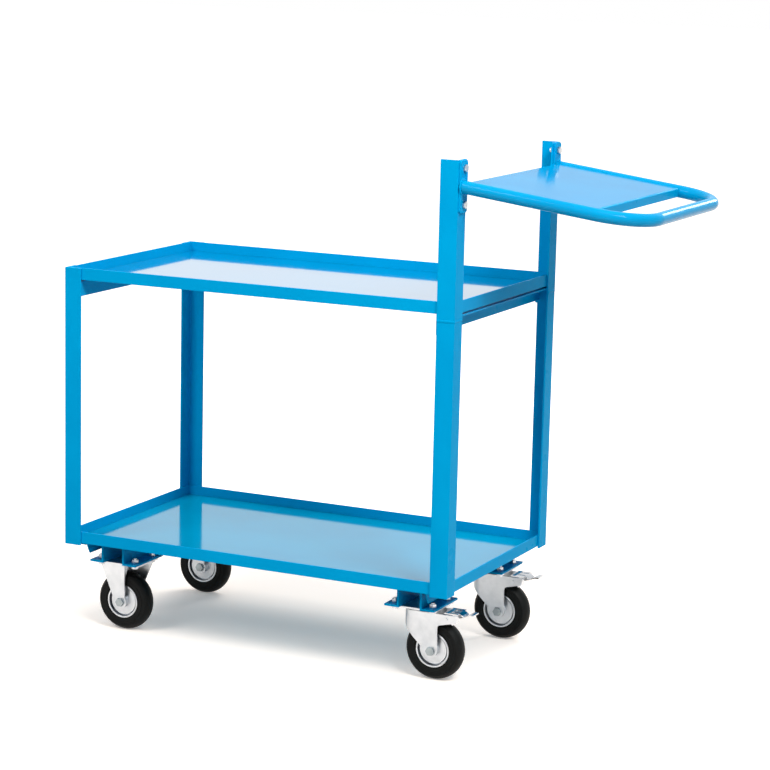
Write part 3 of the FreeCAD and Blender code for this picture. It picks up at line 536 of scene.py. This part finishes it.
# 1 for rays that show the room: straight to the camera, in a reflection or through glass
def seenRays(tree):
    ray = addNode(tree, "ShaderNodeLightPath")
    direct = addNode(tree, "ShaderNodeMath", {"operation": "MAXIMUM"},
                     {0: (ray, "Is Camera Ray"), 1: (ray, "Is Glossy Ray")})
    total = addNode(tree, "ShaderNodeMath", {"operation": "MAXIMUM"},
                    {0: (direct, "Value"), 1: (ray, "Is Transmission Ray")})
    return total


# pale paper floor: white where it is seen, duller where it throws light back up, with a painted glow for seen
# rays that is weaker near the object, which deepens its shadow there: painted light and shade
def makeFloor(look):
    bpy.ops.object.select_all(action="DESELECT")
    bpy.ops.mesh.primitive_plane_add(size=look["floorSize"], location=(0, 0, 0))
    floor = bpy.context.object
    floor.name = "studio_floor"
    material, tree = newMaterial("white_paper_floor")
    seen = seenRays(tree)
    place = addNode(tree, "ShaderNodeTexCoord")
    reach = addNode(tree, "ShaderNodeVectorMath", {"operation": "LENGTH"}, {0: (place, "Object")})
    near, far = look["paintedFloorGlowFrom"]
    nearPaintedGlow, farPaintedGlow = look["paintedFloorGlow"]
    # the painted glow grows with distance from the object: painted shade close under it, painted light far off
    paintedLightPool = addNode(tree, "ShaderNodeMapRange",
                   {"From Min": near, "From Max": far, "To Min": nearPaintedGlow, "To Max": farPaintedGlow},
                   {"Value": (reach, "Value")})
    paintedGlowLevel = addNode(tree, "ShaderNodeMath", {"operation": "MULTIPLY"}, {0: (seen, "Value"), 1: (paintedLightPool, "Result")})
    bounce = addNode(tree, "ShaderNodeBsdfDiffuse", {"Color": linear(look["paperBounce"])})
    paper = addNode(tree, "ShaderNodeBsdfDiffuse", {"Color": linear(look["paperSeen"])})
    either = addNode(tree, "ShaderNodeMixShader", None,
                     {"Fac": (seen, "Value"), 1: (bounce, "BSDF"), 2: (paper, "BSDF")})
    paintedGlowShader = addNode(tree, "ShaderNodeEmission", {"Color": (1, 1, 1, 1)}, {"Strength": (paintedGlowLevel, "Value")})
    both = addNode(tree, "ShaderNodeAddShader", None, {0: (either, "Shader"), 1: (paintedGlowShader, "Emission")})
    addNode(tree, "ShaderNodeOutputMaterial", None, {"Surface": (both, "Shader")})
    floor.data.materials.append(material)


# even white room: white where it is seen, a plain level where it lights
def makeRoom(look):
    world = bpy.data.worlds.new("white_room")
    bpy.context.scene.world = world
    world.use_nodes = True
    tree = world.node_tree
    tree.nodes.clear()
    level = addNode(tree, "ShaderNodeMapRange", {"To Min": look["skyLevel"], "To Max": 1.0},
                    {"Value": (seenRays(tree), "Value")})
    sky = addNode(tree, "ShaderNodeBackground", {"Color": (1, 1, 1, 1)}, {"Strength": (level, "Result")})
    addNode(tree, "ShaderNodeOutputWorld", None, {"Surface": (sky, "Background")})


def makeLamps(look):
    sun = bpy.data.lights.new("overhead_light", "SUN")
    sun.energy = look["keyLevel"]
    sun.angle = math.radians(look["keySoftDegrees"])
    overhead = bpy.data.objects.new("overhead_light", sun)
    overhead.rotation_euler = Vector(look["keyFrom"]).to_track_quat("Z", "Y").to_euler()
    overhead.visible_glossy = False  # too wide and even to show as a lamp in the gloss
    bpy.context.scene.collection.objects.link(overhead)
    for name, box in look["boxes"].items():
        lamp = bpy.data.lights.new(name, "AREA")
        lamp.size = box["size"]
        lamp.energy = box["power"]
        holder = bpy.data.objects.new(name, lamp)
        holder.location = box["place"]
        holder.visible_glossy = box["mirrored"]
        holder.rotation_euler = (Vector(box["place"]) - Vector(box["aim"])).to_track_quat("Z", "Y").to_euler()
        bpy.context.scene.collection.objects.link(holder)


makeFloor(studio)
makeRoom(studio)
makeLamps(studio)
bpy.context.scene.view_settings.view_transform = "Standard"
print("studio lit")

camera = {
    "place": (2.15057, -4.53627, 1.46686),
    "yawDegrees": -25.52,
    "pitchDegrees": 10.48,
    "rollDegrees": -1.33,
    "focalPixels": 2543.38,
    "imagePixels": 770,
    "sensorMm": 36.0,
    "clipEnd": 200.0,
}


# right, up and back of the camera, from its yaw, its pitch down and its roll
def makeCamera(look):
    yaw, pitch, roll = [math.radians(look[k]) for k in ("yawDegrees", "pitchDegrees", "rollDegrees")]
    ahead = Vector((math.cos(pitch) * math.sin(yaw), math.cos(pitch) * math.cos(yaw), -math.sin(pitch)))
    level = Vector((math.cos(yaw), -math.sin(yaw), 0))
    down = ahead.cross(level)
    right = math.cos(roll) * level + math.sin(roll) * down
    below = math.cos(roll) * down - math.sin(roll) * level
    lens = bpy.data.cameras.new("photo_camera")
    lens.sensor_width = look["sensorMm"]
    lens.lens = look["focalPixels"] * look["sensorMm"] / look["imagePixels"]
    lens.clip_end = look["clipEnd"]
    holder = bpy.data.objects.new("photo_camera", lens)
    bpy.context.scene.collection.objects.link(holder)
    turn = Matrix((right, -below, -ahead)).transposed().to_4x4()
    holder.matrix_world = Matrix.Translation(look["place"]) @ turn
    bpy.context.scene.camera = holder


makeCamera(camera)
print("camera set")
